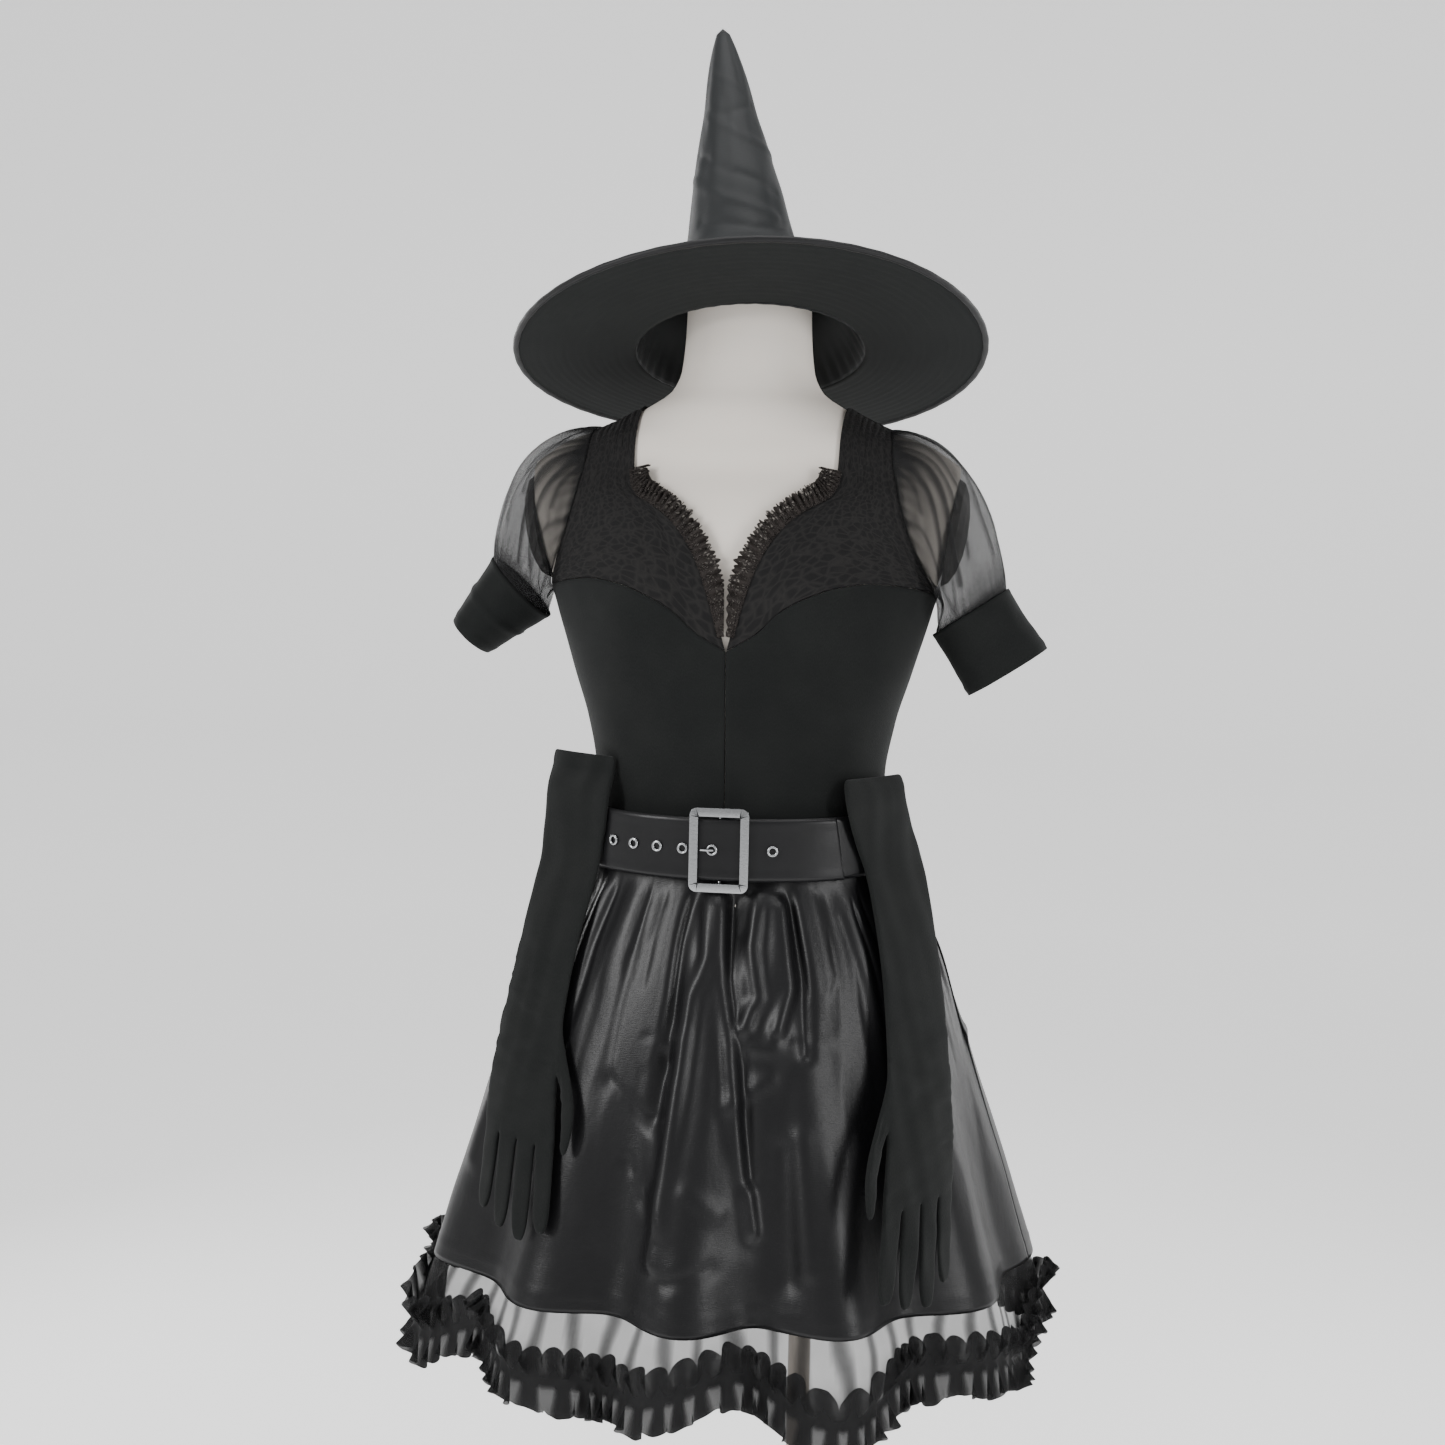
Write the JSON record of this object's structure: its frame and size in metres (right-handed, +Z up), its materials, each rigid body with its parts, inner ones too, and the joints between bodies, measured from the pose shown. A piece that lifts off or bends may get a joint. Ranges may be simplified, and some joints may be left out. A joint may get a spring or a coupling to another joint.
{
  "type": "witch costume on a dress form",
  "caption": "Black witch costume: pointed hat with a wide brim, short belted dress with sheer sleeves and a net hem, and long gloves, on a limbless dress form with a round base.",
  "frame": {"origin": "centre of the round base's underside, on the floor", "axes": "+Z up, -Y to the front of the garment, +X to the wearer's left"},
  "size_m": [0.5452, 0.4618, 1.6621],
  "materials": {
    "form_linen": "smooth stretched cover",
    "form_plate": "matt",
    "rod_metal": "brushed",
    "base_iron": "satin",
    "jersey": "matt knit",
    "crinkle": "crinkled, with a lace overlay",
    "lace": "gathered net lace",
    "net": "sheer net",
    "satin": "shiny satin",
    "belt_satin": "stiff satin",
    "felt": "matt, stiffened",
    "silver": "lightly brushed"
  },
  "bodies": {
    "root": {"form_torso": "form_linen", "form_arm_plate_l": "form_plate", "form_arm_plate_r": "form_plate", "form_rod": "rod_metal", "form_base": "base_iron", "hat_crown": "satin", "hat_brim": "felt", "hat_binding": "satin", "bodice_front_l": "jersey", "bodice_front_r": "jersey", "bodice_back": "jersey", "cup_l": "crinkle", "cup_r": "crinkle", "strap_back_l": "jersey", "strap_back_r": "jersey", "lace_l": "lace", "lace_r": "lace", "sleeve_l": "net", "sleeve_r": "net", "cuff_l": "jersey", "cuff_r": "jersey", "belt": "belt_satin", "buckle_frame": "silver", "buckle_bar": "silver", "buckle_prong": "silver", "eyelet_1": "silver", "eyelet_2": "silver", "eyelet_3": "silver", "eyelet_4": "silver", "eyelet_5": "silver", "eyelet_6": "silver", "skirt_front": "satin", "skirt_back": "satin", "net_front": "net", "net_back": "net", "ruffle_front": "net", "ruffle_back": "net", "glove_l": "jersey", "glove_r": "jersey"}
  },
  "joints": []
}
